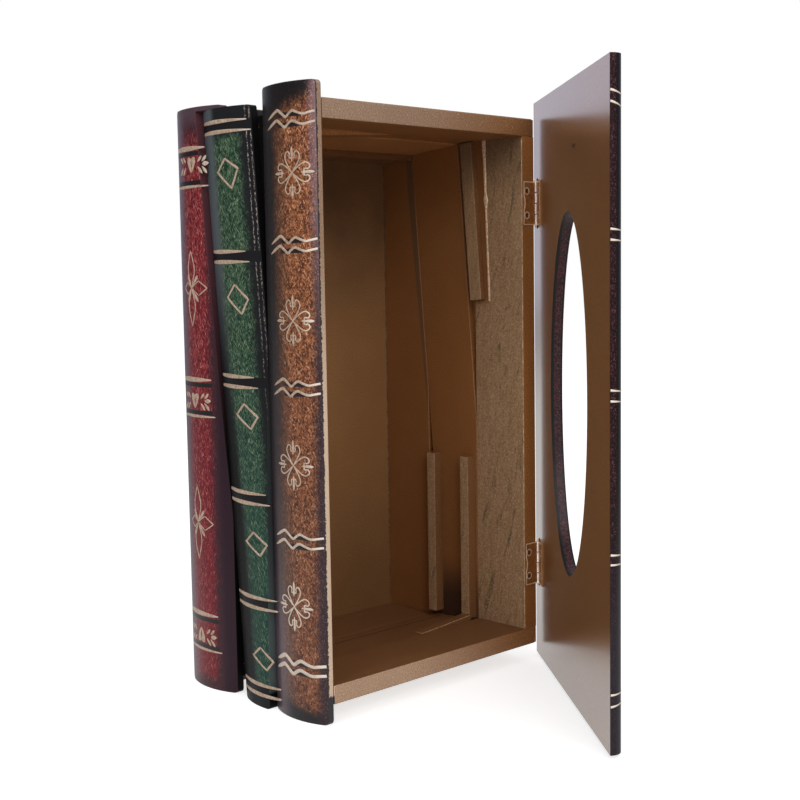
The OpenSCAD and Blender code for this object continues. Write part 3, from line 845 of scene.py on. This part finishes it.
# ---- hinges
HINGES = {"upper": CASE_H - 36.6, "lower": 37.2}
HINGE_HALF, KNUCKLE_H, KNUCKLE_R = 9.6, 4.8, 0.9
LEAF_LEFT, LEAF_RIGHT, LEAF_T, LEAVES_T = CASE_W - 7.4, 122.2, 0.6, 1.4
WAIST, WAIST_HALF = 0.8, 3.5
SCREW_X, SCREW_OUT, SCREW_HEAD = CASE_W - 5.2, 5.3, 1.7
AT_BODY = {"case": STRAIGHT, "door": DOOR}
leaf_paint, bright, worn, recess_shade = {}, {}, {}, {}
for body, s in AT_BODY.items():
    leaf_paint[body] = plain(body + "_leaf_paint", ((146, 94, 50), (166, 110, 60), (184, 128, 76)), 0.6, 0.4, s,
                             metal=0.2, coat=0.2, depth=0.01)
    bright[body] = brass(body + "_bright_brass", s)
    # Worn brass painted near white: partly a painted highlight, on the hinges' rims and pins
    worn[body] = plain(body + "_worn_brass_highlight", ((238, 200, 160), (252, 230, 200), (255, 248, 232)), 0.9, 0.35, s,
                       metal=0.3, coat=0.3, depth=0.02)
    # Dark paint that stands for the shade in the knuckles' gaps and the screws' recesses
    recess_shade[body] = plain(body + "_recess_shade_paint", ((30, 18, 10), (44, 26, 14), (60, 36, 20)), 1, s=s, coat=0)


def on_knuckle(a, z, h):
    """The same for the knuckles of a hinge, a in mm round them."""
    r, turn = KNUCKLE_R + h, a / KNUCKLE_R
    return matrix(STRAIGHT) @ Vector((PIN.x + r * cos(turn), PIN.y + r * sin(turn), z))


def hinge_faces(normal, middle):
    """The knuckles are worn bright, the leaves are painted like the wood round them."""
    return 1 if (middle.xy - PIN.xy).length < KNUCKLE_R + 0.15 else 0


def oval(x, z, half_w, half_h, count):
    turns = [2 * pi * i / count for i in range(count + 1)]
    return [(x + half_w * cos(t), z + half_h * sin(t)) for t in turns]


def hinge_trim(body, face, side):
    """Worn brass rims on the leaves and screws of one side, bright with a painted highlight."""
    trim = Strokes(on_wall(AT_BODY[body], 1, face, side))
    for z in HINGES.values():
        x, r = LEAF_LEFT + 0.3, HINGE_HALF - 0.3
        half = [(LEAF_RIGHT, r), (x, r), (x, WAIST_HALF), (x + WAIST * 0.7, WAIST_HALF / 2), (x + WAIST, 0)]
        below = [(a, z - h) for a, h in half[-2::-1]]
        trim.add([(a, z + h) for a, h in half] + below, 0.55, 0.07, 0.05)
        for out in (-SCREW_OUT, SCREW_OUT):
            trim.add(oval(SCREW_X, z + out, SCREW_HEAD - 0.25, SCREW_HEAD - 0.25, 24), 0.4, 0.07, 0.05)
    trim.finish(body + "_hinge_trim", worn[body], body, BRASS)


for at, middle_z in HINGES.items():
    for body in AT_BODY:
        paints = [leaf_paint[body], bright[body]]
        dress(f"{at}_hinge_{body}_leaf", paints, hinge_faces, 0.15, 2, body=body)
    dress(at + "_hinge_pin", [worn["case"]], bevel=0)
    # Painted shade: dark rings in the gaps between the four knuckles
    gap_shade = Strokes(on_knuckle)
    start, end = radians(175) * KNUCKLE_R, radians(345) * KNUCKLE_R
    for k in (-1, 0, 1):
        z = middle_z + k * KNUCKLE_H
        gap_shade.add(line((start, z), (end, z), 24), 0.36, 0.03, 0.2)
    gap_shade.finish(at + "_knuckle_gap_shade", recess_shade["case"], slot=BRASS)
# Painted shade: dark paint in the recesses of the screws' heads
dress("case_screws", [leaf_paint["case"], recess_shade["case"]],
      lambda normal, middle: 1 if middle.y > -LEAF_T + 0.02 else 0, 0.1)
dress("door_screws", [leaf_paint["door"], recess_shade["door"]],
      lambda normal, middle: 1 if on_shut_door(middle).y < LEAF_T - LEAVES_T - 0.02 else 0, 0.1, body="door")
hinge_trim("case", -LEAF_T, -1)
hinge_trim("door", LEAF_T - LEAVES_T, 1)
print("scene: solids dressed")


# ---- page edges
PAGE_PITCH, PAGE_DEPTH, PAGE_STEPS = 0.85, 0.28, 14


def pages(name, s, paint, where, start, end, near, far, seed):
    """A ridged skin over a board's outer face, like the cut edges of a block of pages.

    where(u, a, h) gives a point; near(u) and far(u) are the block's two sides at u along it."""
    dice = random.Random(seed)
    m = matrix(s)
    bm = bmesh.new()
    first, width = near(start), far(start) - near(start)
    count = int(width / PAGE_PITCH)
    lines = []
    for i in range(count + 1):
        lines.append((i / count, 0, dice.uniform(-0.03, 0.03)))
        if i < count:
            deep = PAGE_DEPTH * dice.uniform(0.55, 1)
            for share in (0.42, 0.62):
                lines.append(((i + share) / count, -deep, dice.uniform(-0.03, 0.03)))
    waves = [dice.uniform(0, 6.28) for _ in lines]
    rings = []
    for k in range(PAGE_STEPS + 1):
        u = start + (end - start) * k / PAGE_STEPS
        lo, hi = near(u), far(u)
        ring = []
        for (share, h, shift), wave in zip(lines, waves):
            a = first + width * share + shift + 0.06 * sin(wave + k * 1.1)
            ring.append((min(max(a, lo), hi), h + PAGE_DEPTH))
        ring += [(hi, -0.2), (lo, -0.2)]
        rings.append([bm.verts.new(m @ Vector(where(u, a, h))) for a, h in ring])
    join_rings(bm, rings)
    bmesh.ops.remove_doubles(bm, verts=bm.verts, dist=1e-6)
    bmesh.ops.dissolve_degenerate(bm, dist=1e-6, edges=bm.edges)
    piece(name, bm, "case", [paint], 40)


def level(z, side):
    return lambda u, a, h: (u, a, z + side * h)


def fore(u, a, h):
    return CASE_W + h, a, u


def flat(value):
    return lambda u: value


def middle_front(u):
    """Where the middle block's front side is, at u up it, beside the front block."""
    return max(0.6, (FRONT_T + 0.5 - MIDDLE_Y - u * sin(LEAN)) / cos(LEAN))


def rear_front(u):
    """Where the rear block's front side is, behind the middle one, at height u."""
    return max(REAR_Y + 0.6, MIDDLE_Y + (MIDDLE_T + u * sin(LEAN)) / cos(LEAN) + 0.6)


span = (0.6, CASE_W - 0.5)
upright = STRAIGHT, page_gold
back = flat(FRONT_T - 0.5)
pages("front_head_pages", *upright, level(CASE_H, 1), *span, flat(0.6), back, 11)
pages("front_tail_pages", *upright, level(0, -1), *span, flat(0.6), back, 12)
pages("front_fore_pages", *upright, fore, 0.6, CASE_H - 0.5, flat(1.2), back, 13)
leaning = LEANING, page_gold_leaning
back = flat(MIDDLE_T - 0.5)
pages("middle_head_pages", *leaning, level(MIDDLE_H, 1), *span, flat(0.6), back, 21)
pages("middle_tail_pages", *leaning, level(0, -1), *span, flat(middle_front(0)), back, 22)
pages("middle_fore_pages", *leaning, fore, MIDDLE_H - 0.5, 0.6, middle_front, back, 23)
back = flat(DEPTH - 0.3)
pages("rear_head_pages", *upright, level(REAR_HEAD, 1), *span, flat(rear_front(REAR_HEAD)), back, 31)
pages("rear_tail_pages", *upright, level(REAR_FOOT, -1), *span, flat(REAR_Y + 0.6), back, 32)
pages("rear_fore_pages", *upright, fore, REAR_FOOT + 0.5, REAR_HEAD - 0.5, rear_front, back, 33)


# ---- glue inside
def bead_width(t):
    """An uneven bead of glue, with a knot a third of the way down."""
    thick = 1.1 + 1.1 * max(0, 1 - t / 0.45)
    return thick + 0.2 * sin(t * 37) + 1.5 * exp(-((t - 0.37) / 0.025) ** 2)


def uneven(middle, *waves):
    """Width of a thin bead, from its mean and the height and speed of each wave in it."""
    return lambda t: middle + sum(high * sin(t * speed) for high, speed in waves)


glue = Strokes(on_wall(STRAIGHT, 0, FORE_X, -1))
glue.add(line((22.9, 228), (20.1, 156), 70), bead_width, 0.5)
glue.finish("glue_bead", glue_paint)
# A pale bead along the stile's inner corner: worn gold, and a painted highlight on the edge
glue = Strokes(on_wall(STRAIGHT, 0, FORE_X, -1))
glue.add(line((0.45, CASE_H - WALL - 1), (0.45, WALL + 1), 160), uneven(0.3, (0.16, 171), (0.12, 397)), 0.08)
glue.finish("stile_corner_wear_and_highlight", glue_paint)
glue = Strokes(on_wall(STRAIGHT, 1, DEPTH, -1))
glue.add(line((FORE_X - 0.2, REAR_HEAD - 8.5), (FORE_X - 0.2, 6), 90), uneven(0.4, (0.2, 161), (0.14, 343)), 0.2)
glue.finish("corner_glue", corner_paint)

# ---- gold ornaments on the front spine
# One wavy line: distance from the near edge, height over its middle
WAVE = ((25, -1.3), (21.3, 0.4), (18, 1.7), (15.6, 0.4), (13.3, -1.1), (11.5, 0.1), (9.7, 1), (7.4, 0.2),
        (4.9, -0.5), (2.6, -0.1), (0.2, 0.35))
# Half of a rosette's open heart, from its point to its curl
HALF_HEART = ((0, 0), (1.6, 2), (3.1, 4.3), (3.7, 6.1), (3.1, 7.6), (2, 8), (1.2, 7.2), (1.3, 6.1),
              (0.7, 5.3))


def wavy(gilt, mid_z, slide):
    """A pair of wavy lines, heavier for the lowest pair."""
    heavy = 1.4 if mid_z == WAVES[-1][0] else 1
    for side in (-1, 1):
        points = [(a + (slide + 0.6 * (side < 0)) * min(1, a / 18), mid_z + side * WAVE_GAP / 2 + dz)
                  for a, dz in WAVE]
        gilt.add(smooth_path(points, 4), taper(1.25 * heavy, 0.85 * heavy, blunt=True), 0.16)


def rosette(gilt, a0, z0):
    """Four open hearts that meet in the middle, each with a small fleur on its cusp."""
    for turn in range(4):
        c, s = cos(turn * pi / 2), sin(turn * pi / 2)

        def to(x, y):
            return a0 + 0.98 * (c * x - s * y), z0 + s * x + c * y

        for side in (-1, 1):
            gilt.add(smooth_path([to(side * x, y) for x, y in HALF_HEART], 5), taper(0.56, 0.52, 0.3), 0.13)
        gilt.add(line(to(0, 4.2), to(0, 9.9), 12), spindle(1.15, 0.3, 0.7), 0.16)
        gilt.add(line(to(-1.5, 5.6), to(1.5, 5.6), 6), spindle(0.75, 0.3))


gilt = Strokes(on_spine(STRAIGHT))
for mid_z, slide in WAVES:
    wavy(gilt, mid_z, slide)
for a, z in ROSETTES:
    rosette(gilt, a, z)
gilt.finish("front_spine_gilding", gold_line)


# ---- gold ornaments on the middle spine
def band_line(gilt, z, start, end, w0, w1, slope=0):
    """A brush line across a spine, thickest a third of the way along and drawn out to a point."""
    thickest = 0.35

    def width(t):
        if t < thickest:
            return w0 * (0.72 + 0.28 * sin(pi / 2 * t / thickest))
        return w1 + (w0 - w1) * max(0, cos(pi / 2 * (t - thickest) / (1 - thickest))) ** 0.8

    along = [start + (end - start) * i / 24 for i in range(25)]
    gilt.add([(a, z + slope * (a - PAIR_A)) for a in along], width, 0.15)


gilt = Strokes(on_spine(LEANING))
for z, reach in zip(PAIRS, (1.2, 6, 6.5, 5, 3.5, 3)):
    for side in (-1, 1):
        band_line(gilt, z + side * PAIR_GAP / 2, 31, reach + 0.8 * side, 1.7, 0.35, PAIR_SLOPE)
for a, z, half, near_corner in DIAMONDS:
    # Four separate strokes that overshoot a little
    shape = (0.8, 1), (-6, near_corner), (-2.1, -1), (6.2, 0.2)
    corners = [Vector((a + x, z + y * half)) for x, y in shape]
    for i, beyond in enumerate((0.5, 0.2, 0.7, 0.3)):
        b, c = corners[i], corners[(i + 1) % 4]
        over = (c - b).normalized() * beyond
        gilt.add(line(b - over * 0.6, c + over), taper(0.75, 1.15, 0.3))
gilt.finish("middle_spine_gilding", gold_line_leaning)


# ---- gold ornaments on the rear spine
def leaf(gilt, foot, tip, width, peak=0.62):
    """A brush dab from its foot to its tip."""
    gilt.add(line(foot, tip, 8), spindle(width, 0.15, peak), 0.16)


def lobe_width(t):
    """Half a heart, thin at its point and full at its head."""
    return 0.25 + 2.6 * min(1, t * 1.5) ** 0.8 * min(1, (1 - t) * 6 + 0.35)


def heart_band(gilt, a, z, above, below, flip):
    """A heart with leaves on both sides, between two lines. flip is -1 for one on its head."""
    band_line(gilt, z + above, 30.6, 8.6, 2.1, 0.5)
    band_line(gilt, z - below, 30.6, 7, 1.25, 0.4)
    for side in (-1, 1):
        lobe = [(a + side * x, z + flip * y) for x, y in ((0.1, -3.2), (1.2, -0.6), (1.5, 1.6), (1.2, 3))]
        gilt.add(smooth_path(lobe, 4), lobe_width, 0.16)
        near = a - side * 4.4
        for k in (0, 2.6):
            leaf(gilt, (near - side * k, z + 1), (near - side * (k + 2.4), z + 3.3), 1.3)
            leaf(gilt, (near - side * k, z - 0.9), (near - side * (k + 2.7), z - 3.9), 1.3)
    leaf(gilt, (a - 7.1, z), (a - 10.6, z + 0.2), 1.9, 0.5)


def star(gilt, a, z):
    """A tall star with a leaf between each two of its points."""
    thin = taper(0.55, 0.55)
    for side in (-1, 1):
        for s in (-1, 1):
            outline = smooth_path([(a, z), (a + s * 2.6, z + side * 7.5), (a, z + side * 16.1)], 6)
            gilt.add(outline, thin, 0.13)
    for side, reach, half in ((-1, 10.6, 3.1), (1, 6.3, 2.6)):
        for s, high in ((-1, 5.7), (1, 5.4)):
            corner = (a + side * reach / 2, z + s * half)
            gilt.add(line((a, z), corner), thin, 0.13)
            gilt.add(line(corner, (a + side * reach, z)), thin, 0.13)
            leaf(gilt, (a, z), (a + side * reach * 0.47, z + s * high), 1.5, 0.82)


gilt = Strokes(on_spine(REAR))
for band, flip in zip(HEARTS, (1, 1, -1)):
    heart_band(gilt, *band, flip)
for a, z in STARS:
    star(gilt, a, z)
gilt.finish("rear_spine_gilding", gold_line_rear)

# ---- gold lines on the door's free edge and cover
EDGE_ROUND, EDGE_REACH, EDGE_STEPS = 4.4, 29, 44
# Height of each stroke at the inner edge, and how much it drops on its way round the edge
EDGE_STROKES = ((231.1, 1.4), (227.2, 1.7), (183.2, 0.5), (179.4, 0.4), (126.5, 0.5), (122.6, 0.3), (67.3, 0.3),
                (63.7, 0), (15.9, -0.4), (11.5, -0.9))


def round_the_edge(a, z, h):
    """A way from the door's inner edge round its rounded corner and onto its face, a in mm along it."""
    flat_part = DOOR_IN - DOOR_OUT - EDGE_ROUND
    bend = EDGE_ROUND * pi / 2
    if a < flat_part:
        p, n = Vector((DOOR_LEFT, DOOR_IN - a, z)), Vector((-1, 0, 0))
    elif a < flat_part + bend:
        t = (a - flat_part) / EDGE_ROUND
        n = Vector((-cos(t), -sin(t), 0))
        p = Vector((DOOR_LEFT + EDGE_ROUND, DOOR_OUT + EDGE_ROUND, z)) + n * EDGE_ROUND
    else:
        p, n = Vector((DOOR_LEFT + EDGE_ROUND + a - flat_part - bend, DOOR_OUT, z)), Vector((0, -1, 0))
    return matrix(DOOR) @ (p + n * h)


def edge_width(t):
    """A stroke that thins out as it rounds the corner and swells again on the cover."""
    if t < 0.17:
        return 0.85 - 2.4 * t
    return 0.45 + 0.5 * min(1, (t - 0.17) * 6) - 0.8 * max(0, t - 0.85)


gilt = Strokes(round_the_edge)
for z, drop in EDGE_STROKES:
    points = []
    for i in range(EDGE_STEPS + 1):
        a = 0.2 + EDGE_REACH * i / EDGE_STEPS
        on_cover = min(1, max(0, (a - 6.5) / 4))
        points.append((a, z - drop * min(1, a / 5) + 1.2 * on_cover * sin((a - 6.5) * 0.75)))
    gilt.add(points, edge_width)
gilt.put = on_wall(DOOR, 1, DOOR_OUT, -1)
gilt.add(oval(SLOT_X, SLOT_Z, SLOT_W / 2 + 4.5, SLOT_H / 2 + 4.5, 96), 0.8)
gilt.finish("door_gilding", gold_line_door, "door")

# ---- floor, backdrop and light
# The side of the room that the flat spines mirror is dark, as in the photograph
DARK_SIDE = Vector((-0.8, 0.6, 0))
floor_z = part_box("front_spine")[0].z
bm = bmesh.new()
bmesh.ops.create_circle(bm, cap_ends=True, segments=96, radius=6)
mesh = bpy.data.meshes.new("floor")
bm.to_mesh(mesh)
bm.free()
floor = new_object("floor", mesh)
floor.location = (0, 0, floor_z)


def towards_dark(n, coordinates):
    """How far a direction points to the dark side, from the named coordinates."""
    return n.vector("DOT_PRODUCT", n.node("ShaderNodeTexCoord").outputs[coordinates], DARK_SIDE)


def by_ray(n, camera_level, mirrored, other):
    """A strength for what the camera sees, what gloss and glass show, and what lights the object."""
    ray = n.node("ShaderNodeLightPath").outputs
    mirror = n.most(ray["Is Glossy Ray"], ray["Is Transmission Ray"])
    out = mirror * n.math("SUBTRACT", mirrored, other) + other
    return n.math("SUBTRACT", camera_level, out) * ray["Is Camera Ray"] + out


p = Paint("pale_floor")
p.colour = (0.6, 0.6, 0.6, 1)
p.finish(0.9, coat=0, specular=0.1)
p.shader.inputs["Emission Color"].default_value = (1, 1, 1, 1)
dark = towards_dark(p, "Object")
p.set(p.shader.inputs["Emission Strength"], by_ray(p, 0.68, p.fade(dark, 0.1, 0.6, 0.6), 0))
mesh.materials.append(p.mat)

world = bpy.data.worlds.new("studio")
world.use_nodes = True
bpy.context.scene.world = world
n = Nodes(world.node_tree)
dark = towards_dark(n, "Generated")
back = n.tree.nodes["Background"]
mirrored = n.node("ShaderNodeLightPath").outputs["Is Glossy Ray"]
n.set(back.inputs["Color"], n.mix(mirrored, (1, 1, 1, 1), (0.84, 0.85, 1, 1)))
n.set(back.inputs["Strength"], by_ray(n, 1, n.step(dark, 0.25, 0.85, 0.04, 1.05), 0.62))


def softbox(name, place, size, watts):
    """A round lamp that faces the middle of the box."""
    light = bpy.data.lights.new(name, "AREA")
    light.shape, light.size, light.energy = "DISK", size, watts
    obj = new_object(name, light)
    obj.location = place
    obj.rotation_mode = "QUATERNION"
    obj.rotation_quaternion = (Vector((0, 0, 0.12)) - Vector(place)).to_track_quat("-Z", "Y")


softbox("key", (-0.5, -1.2, 0.9), 0.9, 8)
softbox("fill", (-1.1, -0.25, 0.8), 0.7, 3)
softbox("rim", (0.7, 1.3, 1.1), 0.9, 4)

scene = bpy.context.scene
scene.view_settings.view_transform = "Standard"
